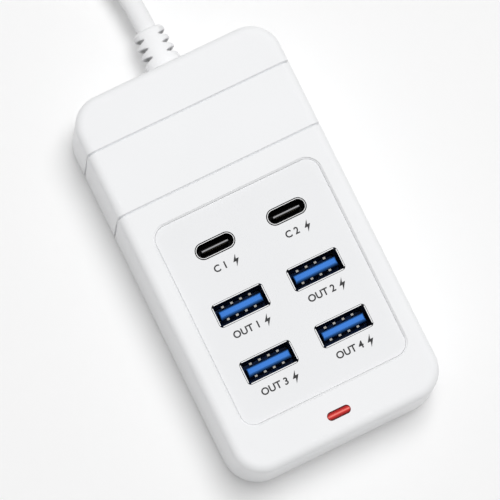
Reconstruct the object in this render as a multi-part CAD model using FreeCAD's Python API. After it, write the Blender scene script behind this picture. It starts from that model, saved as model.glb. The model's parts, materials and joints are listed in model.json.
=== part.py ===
import FreeCAD, Part
import math
import os

# A mains-fed charging block: a white housing with two USB-C and four USB-A ports in its top,
# an indicator lens at the tail and a mains cord out of the head.
# Origin: centre of the footprint on the floor. +X across, +Y towards the cord, +Z up. Millimetres.

V = FreeCAD.Vector

# Housing, widest at its rim and drafted towards the top
body_width = 56.8
body_length = 101.8
body_height = 27.0
draft_angle = 3.5
tail_draft_angle = 1.6
corner_radius = 9.2
top_edge_radius = 2.3
rim_chamfer = 0.5
wall = 2.0
top_thickness = 2.6
groove_head_distance = 13.85
groove_spacing = 16.85
groove_width = 0.9
groove_depth = 0.8
slit_width = 0.7
slit_depth = 1.5
slit_height = 16.0

# Base plate, feet and the screws that close the housing
base_thickness = 2.0
base_gap = 0.15
base_lip_height = 1.6
base_lip_thickness = 1.2
base_lip_inset = 0.4
foot_radius = 4.5
foot_stand = 1.0
foot_sink = 0.5
foot_gap = 0.2
foot_edge = 0.4
foot_side_inset = 13.0
foot_end_inset = 21.0
boss_radius = 3.2
boss_side_inset = 7.9
boss_end_inset = 8.4
boss_rib = 1.2
screw_shank_radius = 1.2
screw_head_radius = 2.4
screw_head_height = 1.4
screw_length = 11.0
screw_gap = 0.06
recess_width = 0.6
recess_depth = 0.8

# Port panel, let into the top
panel_x = 0.35
panel_width = 43.4
panel_length = 52.4
panel_corner_radius = 3.4
panel_thickness = 1.2
panel_sink = 0.6
panel_gap = 0.04
panel_lip_width = 0.95
panel_lip_depth = 0.55
panel_ledge = 2.0
panel_edge_radius = 0.15
panel_tail_margin = 12.25
usb_a_column_pitch = 19.86
usb_c_column_pitch = 19.0
usb_c_shift = 0.3
port_row_start = 12.06
usb_a_row_pitch = 15.1
usb_c_row_pitch = 15.6
port_proud = 0.12
port_gap = 0.18

# USB-A receptacle, a centred tongue with contacts on both faces
usb_a_width = 13.14
usb_a_height = 5.7
usb_a_sheet = 0.32
usb_a_corner_radius = 0.8
usb_a_relief_radius = 0.36
usb_a_relief_depth = 1.4
usb_a_base_height = 3.2
usb_a_tongue_width = 11.2
usb_a_tongue_thickness = 2.2
usb_a_tongue_sink = 1.3
usb_a_tongue_chamfer = 0.3
usb_a_contact_count = 4
usb_a_contact_pitch = 2.3
usb_a_contact_width = 0.6
usb_a_contact_sheet = 0.25
usb_a_contact_bow = 0.5
usb_a_contact_sink = 0.6

# USB-C receptacle
usb_c_width = 10.0
usb_c_height = 3.9
usb_c_sheet = 0.35
usb_c_base_height = 4.6
usb_c_tongue_width = 6.69
usb_c_tongue_thickness = 0.6
usb_c_tongue_sink = 1.0
usb_c_contact_count = 12
usb_c_contact_pitch = 0.5
usb_c_contact_width = 0.25
usb_c_contact_sheet = 0.06
usb_c_contact_length = 3.6
insert_gap = 0.04
tab_width = 1.6
tab_length = 2.6
tab_gap = 0.1

# Indicator
lens_length = 5.9
lens_width = 2.0
lens_proud = 0.35
lens_dome_radius = 0.85
lens_gap = 0.08
lens_flange = 0.8
lens_flange_thickness = 0.8
lens_panel_distance = 6.0
led_radius = 1.5
led_height = 5.4
led_rim_radius = 1.9
led_rim_height = 1.0
led_lens_gap = 0.3

# Boards, one under the ports and one on the base
board_thickness = 1.6
board_wall_gap = 1.0
output_board_height = 12.8
output_board_head_gap = 1.95
output_board_tail_gap = 1.0
output_tongue_width = 18.0
power_board_height = 6.8
power_board_end_gap = 3.6
power_board_corner = 12.0
post_radius = 2.4
post_side_inset = 6.2
post_head_inset = 5.5
post_tail_inset = 4.0
board_screw_radius = 0.9
board_screw_length = 6.0
board_screw_head_radius = 1.9
board_screw_head_height = 1.2
power_post_side_inset = 7.9
power_post_head_inset = 35.3
power_post_tail_inset = 12.0
base_screw_length = 4.0
header_pin_count = 6
header_pin_pitch = 2.54
header_pin_side = 0.64
header_body_width = 2.5
header_body_height = 2.5
header_head_inset = 2.6

# Power parts, placed from the head end of the board
transformer_x = -12.0
transformer_head_inset = 24.2
core_width = 18.0
core_depth = 8.0
core_height = 15.0
core_limb = 4.2
core_leg = 3.6
bobbin_flange = 1.0
bobbin_wall = 0.8
winding_gap = 0.1
bulk_x = 10.5
bulk_radius = 6.3
bulk_length = 20.0
bulk_head_inset = 9.9
can_groove = 0.5
output_can_radius = 3.1
output_can_height = 12.0
output_can_places = ((-19.4, 12.7), (-11.5, 11.9))
fuse_radius = 1.8
fuse_length = 9.0
fuse_cap_length = 2.2
fuse_cap_radius = 2.0
fuse_place = (-9.0, 5.9)
filter_size = (8.0, 4.4, 9.0)
filter_place = (10.5, 7.4)
filter_edge_radius = 0.6
sink_thickness = 1.6
sink_length = 18.0
sink_height = 13.0
sink_foot = 3.0
sink_side_gap = 1.4
sink_head_inset = 22.9
switch_size = (4.4, 10.0, 9.5)
switch_lift = 2.4
switch_tab = 1.3
bridge_size = (8.0, 6.2, 2.6)
bridge_place = (13.0, 52.0)

# Strain relief in the head wall, and the cord
cord_radius = 2.5
cord_x = 0.7
cord_height = 11.0
relief_gap = 0.1
relief_root_radius = 4.65
relief_tip_radius = 4.0
relief_reach = 10.9
relief_flange_radius = 6.2
relief_flange_thickness = 2.0
relief_inner_radius = 3.5
relief_inner_length = 5.6
relief_notch_count = 3
relief_notch_width = 1.5
relief_notch_pitch = 2.4
relief_notch_start = 3.75
relief_notch_radius = 3.0
relief_spine = 1.4
lead_radius = 0.9
lead_spread = 1.3
lead_runs = ((0.0, 0.0), (-3.2, 0.0), (-5.4, -2.0))

# The cord's way to its coil, chosen by hand, after its start at the relief's tip
cord_route = (
    V(0.7, 72.0, 11.0),
    V(-2.5, 83.5, 7.2),
    V(-8.5, 93.8, 3.3),
    V(-15.2, 103.2, 3.3),
)
coil_lead_in = 20.0
coil_mean_radius = 28.75
coil_turns_across = 4.5
coil_layers = 2
coil_corner = 1.4
tie_thickness = 0.8
tie_gap = 0.1
tie_width = 8.0
tie_angle = 80.0

# The cord's end over the coil, from the coil's centre, and the plug that lies on it
tail_points = (
    V(32.5, 18.75, 8.3),
    V(36.9, 6.5, 9.6),
    V(36.9, -6.5, 11.3),
    V(32.6, -16.6, 12.4),
    V(24.3, -23.9, 13.5),
    V(13.7, -26.7, 14.6),
    V(2.9, -24.6, 15.6),
    V(-5.9, -18.0, 16.3),
    V(-10.9, -8.2, 16.3),
)
plug_relief_length = 12.0
plug_relief_root_radius = 4.0
plug_relief_tip_radius = 3.0
plug_relief_rings = 3
plug_relief_ring_width = 0.9
plug_relief_ring_depth = 0.5
plug_neck_width = 10.0
plug_neck_height = 8.6
plug_width = 20.0
plug_height = 11.0
plug_length = 22.0
plug_shoulder = 7.0
plug_corner_radius = 2.4
plug_grip_count = 4
plug_grip_width = 0.9
plug_grip_pitch = 2.2
plug_grip_depth = 0.5
blade_spacing = 12.7
blade_height = 6.35
blade_thickness = 1.5
blade_length = 16.0
blade_root = 5.0
blade_gap = 0.02
blade_hole_radius = 1.5
blade_hole_inset = 4.0
blade_tip_chamfer = 0.4

# Levels and places that follow from the sizes above
rim_z = foot_stand
top_z = body_height
ceiling_z = top_z - top_thickness
base_top_z = rim_z + base_thickness
head_y = body_length / 2
tail_y = -body_length / 2
panel_tail_y = tail_y + panel_tail_margin
panel_y = panel_tail_y + panel_length / 2
panel_top_z = top_z - panel_sink
panel_floor_z = panel_top_z - panel_thickness
port_rim_z = panel_top_z + port_proud
row_low_y = panel_tail_y + port_row_start
row_high_y = row_low_y + usb_a_row_pitch
row_c_y = row_high_y + usb_c_row_pitch
usb_a_places = [(panel_x + side * usb_a_column_pitch / 2, y)
                for y in (row_high_y, row_low_y) for side in (-1, 1)]
usb_c_places = [(panel_x + usb_c_shift + side * usb_c_column_pitch / 2, row_c_y) for side in (-1, 1)]
lens_y = panel_tail_y - lens_panel_distance
board_z = output_board_height
output_head_y = panel_y + panel_length / 2 - output_board_head_gap
output_tail_y = panel_tail_y + output_board_tail_gap
power_z = power_board_height
power_head_y = head_y - wall - power_board_end_gap
boss_x = body_width / 2 - boss_side_inset
boss_y = body_length / 2 - boss_end_inset
boss_places = [(sx * boss_x, sy * boss_y) for sx in (-1, 1) for sy in (-1, 1)]
foot_x = body_width / 2 - foot_side_inset
foot_y = body_length / 2 - foot_end_inset
post_x = body_width / 2 - post_side_inset
post_ys = (output_head_y - post_head_inset, output_tail_y + post_tail_inset)
post_places = [(sx * post_x, y) for sx in (-1, 1) for y in post_ys]
power_post_x = body_width / 2 - power_post_side_inset
power_post_ys = (power_head_y - power_post_head_inset, -power_head_y + power_post_tail_inset)
power_post_places = [(sx * power_post_x, y) for sx in (-1, 1) for y in power_post_ys]
relief_wall_y = head_y - math.tan(math.radians(draft_angle)) * (cord_height - rim_z)
relief_tip_y = relief_wall_y + relief_reach
cord_points = (V(cord_x, relief_tip_y, cord_height),) + cord_route
coil_width = coil_turns_across * 2 * cord_radius
coil_inner = coil_mean_radius - coil_width / 2
coil_outer = coil_mean_radius + coil_width / 2
coil_top_z = tie_thickness + coil_layers * 2 * cord_radius


# Wires, prisms and small helpers
def rounded_rectangle(width, length, radius, z, y=0.0, x=0.0):
    half_x = width / 2 - radius
    half_y = length / 2 - radius
    edges = []
    corners = ((1, 1, 0), (-1, 1, 90), (-1, -1, 180), (1, -1, 270))
    ends = []
    for sx, sy, start in corners:
        centre = V(x + sx * half_x, y + sy * half_y, z)
        first, middle, last = [
            centre + V(radius * math.cos(math.radians(start + a)), radius * math.sin(math.radians(start + a)), 0)
            for a in (0, 45, 90)
        ]
        ends.append((first, last))
        edges.append(Part.Arc(first, middle, last).toShape())
    for k in range(4):
        here = ends[k][1]
        there = ends[(k + 1) % 4][0]
        if here.distanceToPoint(there) > 1e-6:
            edges.append(Part.LineSegment(here, there).toShape())
    return Part.Wire(Part.__sortEdges__(edges))


def polygon(points):
    return Part.makePolygon(list(points) + [points[0]])


def prism(wire, direction):
    return Part.Face(wire).extrude(direction)


def block(x, y, z, width, length, height):
    return Part.makeBox(width, length, height, V(x - width / 2, y - length / 2, z))


def disc(x, y, z, radius, height):
    return Part.makeCylinder(radius, height, V(x, y, z))


def level_edges(shape, z):
    return [e for e in shape.Edges if all(abs(v.Point.z - z) < 1e-4 for v in e.Vertexes)]


def save(name, shape):
    solids = shape.Solids
    result = solids[0] if len(solids) == 1 else Part.makeCompound(solids)
    result.exportStep("parts/" + name + ".step")
    print(name, len(solids), "solid(s)", round(sum(s.Volume for s in solids), 1), "mm3", shape.isValid())


# Housing outline at a height, drawn in by the draft and by an inset
def lean(z):
    return (z - rim_z) * math.tan(math.radians(draft_angle))


def outline(z, inset):
    shrink = lean(z) + inset
    tail_shrink = (z - rim_z) * math.tan(math.radians(tail_draft_angle)) + inset
    return rounded_rectangle(body_width - 2 * shrink, body_length - shrink - tail_shrink, corner_radius - shrink, z,
                             (tail_shrink - shrink) / 2)


def drafted_block(low, high, inset):
    return Part.makeLoft([outline(low, inset), outline(high, inset)], True, True)


# One V-groove over the top and down both side walls, swept along the housing's section
def groove_cutter(y):
    slope = math.radians(draft_angle)
    half_top = body_width / 2 - lean(top_z)
    tangent = top_edge_radius * math.tan((math.pi / 2 - slope) / 2)
    foot = V(-(body_width / 2 - lean(rim_z - 1)), y, rim_z - 1)
    shoulder = V(-half_top - tangent * math.sin(slope), y, top_z - tangent * math.cos(slope))
    crown = V(-half_top + tangent, y, top_z)
    centre = V(-half_top + tangent, y, top_z - top_edge_radius)
    middle_direction = (shoulder - centre) + (crown - centre)
    middle_direction.normalize()
    bend = centre + middle_direction * top_edge_radius
    mirror = [V(-p.x, p.y, p.z) for p in (crown, bend, shoulder, foot)]
    edges = [
        Part.LineSegment(foot, shoulder).toShape(),
        Part.Arc(shoulder, bend, crown).toShape(),
        Part.LineSegment(crown, mirror[0]).toShape(),
        Part.Arc(mirror[0], mirror[1], mirror[2]).toShape(),
        Part.LineSegment(mirror[2], mirror[3]).toShape(),
    ]
    outward = V(-math.cos(slope), 0, math.sin(slope))
    flare = groove_width / 2 * 2
    section = polygon([
        foot - outward * groove_depth,
        foot + outward * groove_depth + V(0, flare, 0),
        foot + outward * groove_depth - V(0, flare, 0),
    ])
    return Part.Wire(edges).makePipeShell([section], True, False)


# The deep slit at the foot of a groove, as far into the drafted side wall all the way up
def slit_cutter(y, side):
    low = rim_z - 1
    points = [
        V(side * (body_width / 2 - lean(low) - slit_depth), y - slit_width / 2, low),
        V(side * (body_width / 2 + 1), y - slit_width / 2, low),
        V(side * (body_width / 2 + 1), y - slit_width / 2, slit_height),
        V(side * (body_width / 2 - lean(slit_height) - slit_depth), y - slit_width / 2, slit_height),
    ]
    return prism(polygon(points), V(0, slit_width, 0))


# The sloped lip round the panel's seat
def panel_lip():
    above = 0.2
    spread = panel_lip_width * (1 + above / panel_lip_depth)
    ends = []
    for z, grow in ((top_z - panel_lip_depth, panel_gap), (top_z + above, panel_gap + spread)):
        ends.append(rounded_rectangle(panel_width + 2 * grow, panel_length + 2 * grow,
                                      panel_corner_radius + grow, z, panel_y, panel_x))
    return Part.makeLoft(ends, True, True)


def make_top_cover():
    shell = drafted_block(rim_z, top_z, 0.0)
    shell = shell.makeFillet(top_edge_radius, level_edges(shell, top_z))
    shell = shell.makeChamfer(rim_chamfer, level_edges(shell, rim_z))
    shell = shell.cut(drafted_block(rim_z - 1, ceiling_z, wall))
    # Screw bosses at the corners, each tied to the side wall by a rib
    inside = drafted_block(rim_z, ceiling_z + 0.5, wall - 0.5)
    for x, y in boss_places:
        boss = disc(x, y, base_top_z, boss_radius, ceiling_z + 0.5 - base_top_z)
        side = math.copysign(1, x)
        rib = block(x + side * boss_side_inset / 2, y, base_top_z + base_lip_height + 1,
                    boss_side_inset, boss_rib, ceiling_z - base_top_z)
        shell = shell.fuse(boss.fuse(rib.common(inside)))
    for x, y in post_places:
        shell = shell.fuse(disc(x, y, board_z, post_radius, ceiling_z + 0.5 - board_z))
    for x, y in boss_places:
        shell = shell.cut(disc(x, y, base_top_z - 1, screw_shank_radius + screw_gap, screw_length + 1))
    for x, y in post_places:
        shell = shell.cut(disc(x, y, board_z - 1, board_screw_radius + screw_gap, board_screw_length))
    # Seat and window of the port panel
    seat = rounded_rectangle(panel_width + 2 * panel_gap, panel_length + 2 * panel_gap,
                             panel_corner_radius + panel_gap, panel_floor_z, panel_y, panel_x)
    window = rounded_rectangle(panel_width - 2 * panel_ledge, panel_length - 2 * panel_ledge,
                               panel_corner_radius - panel_ledge, ceiling_z - 1, panel_y, panel_x)
    shell = shell.cut(prism(seat, V(0, 0, top_z - panel_floor_z + 1)))
    shell = shell.cut(panel_lip())
    shell = shell.cut(prism(window, V(0, 0, top_thickness + 2)))
    # Slot of the indicator lens and hole of the strain relief
    slot = rounded_rectangle(lens_length + 2 * lens_gap, lens_width + 2 * lens_gap,
                             lens_width / 2 + lens_gap, ceiling_z - 1, lens_y)
    shell = shell.cut(prism(slot, V(0, 0, top_thickness + 2)))
    hole = Part.makeCylinder(relief_root_radius + relief_gap, 4 * wall,
                             V(cord_x, head_y - 3 * wall, cord_height), V(0, 1, 0))
    shell = shell.cut(hole)
    for k in range(2):
        y = head_y - groove_head_distance - k * groove_spacing
        shell = shell.cut(groove_cutter(y))
        for side in (-1, 1):
            shell = shell.cut(slit_cutter(y, side))
    return shell.removeSplitter()


def make_port_panel():
    panel = prism(rounded_rectangle(panel_width, panel_length, panel_corner_radius, panel_floor_z, panel_y, panel_x),
                  V(0, 0, panel_thickness))
    panel = panel.makeFillet(panel_edge_radius, level_edges(panel, panel_top_z))
    up = V(0, 0, panel_thickness + 2)
    for x, y in usb_a_places:
        hole = rounded_rectangle(usb_a_width + 2 * port_gap, usb_a_height + 2 * port_gap,
                                 usb_a_corner_radius + port_gap, panel_floor_z - 1, y, x)
        panel = panel.cut(prism(hole, up))
    for x, y in usb_c_places:
        hole = rounded_rectangle(usb_c_width + 2 * port_gap, usb_c_height + 2 * port_gap,
                                 usb_c_height / 2 + port_gap, panel_floor_z - 1, y, x)
        panel = panel.cut(prism(hole, up))
    return panel


def make_bottom_cover():
    inset = wall + base_gap + lean(base_top_z)
    width = body_width - 2 * inset
    length = body_length - 2 * inset
    radius = corner_radius - inset
    plate = prism(rounded_rectangle(width, length, radius, rim_z), V(0, 0, base_thickness))
    # A lip that lies inside the housing's wall
    lip_outer = rounded_rectangle(width - 2 * base_lip_inset, length - 2 * base_lip_inset,
                                  radius - base_lip_inset, base_top_z - 0.5)
    lip_inset = base_lip_inset + base_lip_thickness
    lip_inner = rounded_rectangle(width - 2 * lip_inset, length - 2 * lip_inset, radius - lip_inset, base_top_z - 0.5)
    lift = V(0, 0, base_lip_height + 0.5)
    lip = prism(lip_outer, lift).cut(prism(lip_inner, lift))
    for x, y in boss_places:
        lip = lip.cut(disc(x, y, base_top_z, boss_radius + base_gap, base_lip_height + 1))
    lip = lip.cut(block(cord_x, head_y, base_top_z, 2 * (relief_flange_radius + base_gap), corner_radius * 2,
                        base_lip_height + 1))
    plate = plate.fuse(lip)
    for x, y in power_post_places:
        plate = plate.fuse(disc(x, y, base_top_z - 0.5, post_radius, power_z - board_thickness - base_top_z + 0.5))
    for x, y in power_post_places:
        plate = plate.cut(disc(x, y, base_top_z - 0.6, board_screw_radius + screw_gap, power_z))
    for x, y in boss_places:
        head = Part.makeCone(screw_head_radius + screw_gap, screw_shank_radius + screw_gap, screw_head_height,
                             V(x, y, rim_z))
        plate = plate.cut(head.fuse(disc(x, y, rim_z, screw_shank_radius + screw_gap, base_thickness + 1)))
    for x, y in foot_places():
        plate = plate.cut(disc(x, y, rim_z - 1, foot_radius + foot_gap, foot_sink + 1))
    return plate.removeSplitter()


def foot_places():
    return [(sx * foot_x, sy * foot_y) for sx in (-1, 1) for sy in (-1, 1)]


def make_foot(x, y):
    edge = Part.makeCone(foot_radius - foot_edge, foot_radius, foot_edge, V(x, y, 0))
    return edge.fuse(disc(x, y, foot_edge, foot_radius, foot_stand + foot_sink - foot_edge))


# A countersunk screw that points up, with a cross recess in its head
def make_housing_screw(x, y):
    head = Part.makeCone(screw_head_radius, screw_shank_radius, screw_head_height, V(x, y, rim_z))
    screw = head.fuse(disc(x, y, rim_z, screw_shank_radius, screw_length))
    for width, length in ((recess_width, 2 * screw_head_radius * 0.6), (2 * screw_head_radius * 0.6, recess_width)):
        screw = screw.cut(block(x, y, rim_z, width, length, recess_depth))
    return screw


# A pan-head screw for a board: head at z, shank along the direction
def make_board_screw(x, y, z, up, length):
    direction = V(0, 0, 1 if up else -1)
    head = Part.makeCone(board_screw_head_radius, board_screw_head_radius * 0.8, board_screw_head_height,
                         V(x, y, z), direction * -1)
    return head.fuse(Part.makeCylinder(board_screw_radius, length, V(x, y, z), direction))


def make_usb_a_shell(x, y):
    height = port_rim_z - board_z
    outer = rounded_rectangle(usb_a_width, usb_a_height, usb_a_corner_radius, board_z, y, x)
    inner = rounded_rectangle(usb_a_width - 2 * usb_a_sheet, usb_a_height - 2 * usb_a_sheet,
                              usb_a_corner_radius - usb_a_sheet, board_z, y, x)
    shell = prism(outer, V(0, 0, height)).cut(prism(inner, V(0, 0, height)))
    for side in (-1, 1):
        tab_x = x + side * (usb_a_width - usb_a_sheet) / 2
        shell = shell.fuse(block(tab_x, y, board_z - tab_length, usb_a_sheet, tab_width, tab_length + 0.5))
    # Bend reliefs where the sheet's four sides meet at the rim
    reach_x = (usb_a_width - usb_a_corner_radius) / 2
    reach_y = (usb_a_height - usb_a_corner_radius) / 2
    for sx in (-1, 1):
        for sy in (-1, 1):
            shell = shell.cut(disc(x + sx * reach_x, y + sy * reach_y, port_rim_z - usb_a_relief_depth,
                                   usb_a_relief_radius, usb_a_relief_depth + 1))
    return shell.removeSplitter()


def usb_a_tongue_top():
    return port_rim_z - usb_a_tongue_sink


def make_usb_a_insert(x, y):
    inset = 2 * (usb_a_sheet + insert_gap)
    base = prism(rounded_rectangle(usb_a_width - inset, usb_a_height - inset,
                                   usb_a_corner_radius - inset / 2, board_z, y, x), V(0, 0, usb_a_base_height))
    low = board_z + usb_a_base_height - 0.5
    half = usb_a_tongue_thickness / 2
    top = usb_a_tongue_top()
    cut = usb_a_tongue_chamfer
    left = x - usb_a_tongue_width / 2
    profile = polygon([
        V(left, y - half, low), V(left, y + half, low), V(left, y + half, top - cut),
        V(left, y + half - cut, top), V(left, y - half + cut, top), V(left, y - half, top - cut),
    ])
    return base.fuse(prism(profile, V(usb_a_tongue_width, 0, 0)))


# Spring strips that lie on both faces of the tongue and bow out near its tip
def make_usb_a_contacts(x, y):
    low = board_z + usb_a_base_height
    top = usb_a_tongue_top() - usb_a_contact_sink
    face = usb_a_tongue_thickness / 2
    sheet = usb_a_contact_sheet
    bow = usb_a_contact_bow
    strips = []
    for side in (-1, 1):
        for k in range(usb_a_contact_count):
            centre = x + (k - (usb_a_contact_count - 1) / 2) * usb_a_contact_pitch
            outline_points = [
                (face, low), (face + sheet, low), (face + sheet, top - 4 * bow), (face + sheet + bow, top - 2 * bow),
                (face + sheet + bow, top - bow), (face + sheet, top), (face, top), (face, top - 4 * bow),
            ]
            strip = polygon([V(centre - usb_a_contact_width / 2, y + side * a, b) for a, b in outline_points])
            strips.append(prism(strip, V(usb_a_contact_width, 0, 0)))
    return Part.makeCompound(strips)


def make_usb_c_shell(x, y):
    height = port_rim_z - board_z
    inner_height = usb_c_height - 2 * usb_c_sheet
    outer = rounded_rectangle(usb_c_width, usb_c_height, usb_c_height / 2, board_z, y, x)
    inner = rounded_rectangle(usb_c_width - 2 * usb_c_sheet, inner_height, inner_height / 2, board_z, y, x)
    return prism(outer, V(0, 0, height)).cut(prism(inner, V(0, 0, height)))


def make_usb_c_insert(x, y):
    inset = 2 * (usb_c_sheet + insert_gap)
    height = usb_c_height - inset
    base = prism(rounded_rectangle(usb_c_width - inset, height, height / 2, board_z, y, x),
                 V(0, 0, usb_c_base_height))
    top = port_rim_z - usb_c_tongue_sink
    tongue = rounded_rectangle(usb_c_tongue_width, usb_c_tongue_thickness, usb_c_tongue_thickness * 0.4,
                               board_z + usb_c_base_height - 0.5, y, x)
    return base.fuse(prism(tongue, V(0, 0, top - board_z - usb_c_base_height + 0.5)))


def make_usb_c_contacts(x, y):
    face = usb_c_tongue_thickness / 2
    low = port_rim_z - usb_c_tongue_sink - 0.6 - usb_c_contact_length
    strips = []
    for side in (-1, 1):
        for k in range(usb_c_contact_count):
            centre = x + (k - (usb_c_contact_count - 1) / 2) * usb_c_contact_pitch
            middle = y + side * (face + usb_c_contact_sheet / 2)
            strips.append(block(centre, middle, low, usb_c_contact_width, usb_c_contact_sheet, usb_c_contact_length))
    return Part.makeCompound(strips)


def lens_bottom():
    return board_z + led_height + led_lens_gap


# Light pipe: a pill-shaped rod with a flange under the cover and a domed top
def make_led_lens():
    bottom = lens_bottom()
    rod = prism(rounded_rectangle(lens_length, lens_width, lens_width / 2, bottom, lens_y),
                V(0, 0, top_z + lens_proud - bottom))
    rod = rod.makeFillet(lens_dome_radius, level_edges(rod, top_z + lens_proud))
    flange = rounded_rectangle(lens_length + 2 * lens_flange, lens_width + 2 * lens_flange,
                               lens_width / 2 + lens_flange, ceiling_z - lens_flange_thickness, lens_y)
    return rod.fuse(prism(flange, V(0, 0, lens_flange_thickness)))


def make_indicator_led():
    body = disc(0, lens_y, board_z, led_radius, led_height - led_radius)
    dome = Part.makeSphere(led_radius, V(0, lens_y, board_z + led_height - led_radius))
    return body.fuse(dome).fuse(disc(0, lens_y, board_z, led_rim_radius, led_rim_height))


def make_output_board():
    half = body_width / 2 - wall - lean(board_z) - board_wall_gap
    tongue = output_tongue_width / 2
    tongue_end = lens_y - led_rim_radius - 0.6
    low = board_z - board_thickness
    corner = 2.0
    shape = polygon([
        V(-half, output_head_y - corner, low), V(-half + corner, output_head_y, low),
        V(half - corner, output_head_y, low), V(half, output_head_y - corner, low),
        V(half, output_tail_y, low), V(tongue, output_tail_y, low), V(tongue, tongue_end, low),
        V(-tongue, tongue_end, low), V(-tongue, output_tail_y, low), V(-half, output_tail_y, low),
    ])
    board = prism(shape, V(0, 0, board_thickness))
    for x, y in post_places:
        board = board.cut(disc(x, y, low - 1, board_screw_radius + screw_gap, board_thickness + 2))
    for x, y in usb_a_places:
        for side in (-1, 1):
            slot_x = x + side * (usb_a_width - usb_a_sheet) / 2
            board = board.cut(block(slot_x, y, low - 1, usb_a_sheet + 2 * tab_gap, tab_width + 2 * tab_gap,
                                    board_thickness + 2))
    return board


def make_power_board():
    half_x = body_width / 2 - wall - lean(power_z) - board_wall_gap - 1.0
    half_y = power_head_y
    low = power_z - board_thickness
    cut = power_board_corner
    corners = [(sx * (half_x - a), sy * (half_y - b))
               for sx, sy, a, b in ((1, 1, 0, cut), (1, 1, cut, 0), (-1, 1, cut, 0), (-1, 1, 0, cut),
                                    (-1, -1, 0, cut), (-1, -1, cut, 0), (1, -1, cut, 0), (1, -1, 0, cut))]
    board = prism(polygon([V(x, y, low) for x, y in corners]), V(0, 0, board_thickness))
    for x, y in power_post_places:
        board = board.cut(disc(x, y, low - 1, board_screw_radius + screw_gap, board_thickness + 2))
    return board


# Pin strip that joins the two boards
def header_y():
    return output_head_y - header_head_inset


def header_pin_xs():
    return [(k - (header_pin_count - 1) / 2) * header_pin_pitch for k in range(header_pin_count)]


def make_link_header():
    body = block(0, header_y(), power_z, header_pin_count * header_pin_pitch, header_body_width, header_body_height)
    for x in header_pin_xs():
        side = header_pin_side + 2 * blade_gap
        body = body.cut(block(x, header_y(), power_z - 1, side, side, header_body_height + 2))
    return body


def make_link_pins():
    height = board_z - board_thickness - power_z
    return Part.makeCompound([block(x, header_y(), power_z, header_pin_side, header_pin_side, height)
                              for x in header_pin_xs()])


# Transformer: two E-shaped core halves as one E-I block, a bobbin and its winding
def transformer_y():
    return power_head_y - transformer_head_inset


def make_transformer_core():
    y = transformer_y()
    base = power_z + bobbin_flange
    core = block(transformer_x, y, base, core_width, core_depth, core_height)
    opening = (core_width - 2 * core_leg - core_limb) / 2
    for side in (-1, 1):
        x = transformer_x + side * (core_limb + opening) / 2
        core = core.cut(block(x, y, base + core_leg, opening, core_depth + 2, core_height - 2 * core_leg))
    return core


def bobbin_sizes():
    opening = (core_width - 2 * core_leg - core_limb) / 2
    return core_limb + 2 * bobbin_wall + 2 * winding_gap, core_limb + 2 * opening - 2 * winding_gap


# The bobbin stands on the board, clasps the core's middle limb and has flanges outside the core
def make_transformer_bobbin():
    y = transformer_y()
    base = power_z + bobbin_flange
    low = base + core_leg + winding_gap
    height = core_height - 2 * core_leg - 2 * winding_gap
    sleeve, spread = bobbin_sizes()
    depth = core_depth + 2 * (bobbin_wall + winding_gap)
    body = block(transformer_x, y, low, sleeve, depth, height)
    for z in (low, low + height - bobbin_flange):
        body = body.fuse(block(transformer_x, y, z, spread, depth + 2 * core_leg, bobbin_flange))
    hole = block(transformer_x, y, low - 1, core_limb + 2 * winding_gap, core_depth + 2 * winding_gap, height + 2)
    body = body.cut(hole)
    for side in (-1, 1):
        leg_y = y + side * (depth / 2 + core_leg - bobbin_flange / 2)
        body = body.fuse(block(transformer_x, leg_y, power_z, spread, bobbin_flange, low - power_z + 0.5))
    return body.removeSplitter()


def make_transformer_winding():
    y = transformer_y()
    sleeve, spread = bobbin_sizes()
    base = power_z + bobbin_flange
    low = base + core_leg + winding_gap + bobbin_flange
    height = core_height - 2 * core_leg - 2 * winding_gap - 2 * bobbin_flange
    depth = core_depth + 2 * (bobbin_wall + winding_gap)
    radius = 1.0
    outer = rounded_rectangle(spread, depth + 2 * core_leg - bobbin_flange * 2.2, radius, low, y, transformer_x)
    inner = block(transformer_x, y, low - 1, sleeve, depth, height + 2)
    return prism(outer, V(0, 0, height)).cut(inner)


# An electrolytic can: a turned body with a pressed groove and rounded ends, along an axis
def make_can(base, axis, radius, length):
    profile = [
        V(0, 0, 0), V(radius - can_groove, 0, 0), V(radius, 0, can_groove), V(radius, 0, length * 0.12),
        V(radius - can_groove, 0, length * 0.12 + can_groove), V(radius, 0, length * 0.12 + 2 * can_groove),
        V(radius, 0, length - can_groove), V(radius - can_groove, 0, length), V(0, 0, length),
    ]
    can = Part.Face(polygon(profile)).revolve(V(0, 0, 0), V(0, 0, 1), 360)
    can.Placement = FreeCAD.Placement(base, FreeCAD.Rotation(V(0, 0, 1), axis))
    return can


def make_bulk_capacitor():
    start = V(bulk_x, power_head_y - bulk_head_inset, power_z + bulk_radius)
    return make_can(start, V(0, -1, 0), bulk_radius, bulk_length)


def make_fuse():
    x, inset = fuse_place
    start = V(x - fuse_length / 2, power_head_y - inset, power_z + fuse_cap_radius)
    along = V(1, 0, 0)
    fuse = Part.makeCylinder(fuse_radius, fuse_length, start, along)
    for shift in (0, fuse_length - fuse_cap_length):
        fuse = fuse.fuse(Part.makeCylinder(fuse_cap_radius, fuse_cap_length, start + along * shift, along))
    return fuse


def make_filter_capacitor():
    width, depth, height = filter_size
    x, inset = filter_place
    body = block(x, power_head_y - inset, power_z, width, depth, height)
    upright = [e for e in body.Edges if abs(e.Vertexes[0].Point.z - e.Vertexes[1].Point.z) > height / 2]
    return body.makeFillet(filter_edge_radius, upright)


# Folded heat sink: an upright plate with a foot, and a toothed top edge
def sink_place():
    x = body_width / 2 - wall - lean(power_z + sink_height) - sink_side_gap - sink_thickness / 2
    return x, power_head_y - sink_head_inset


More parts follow.
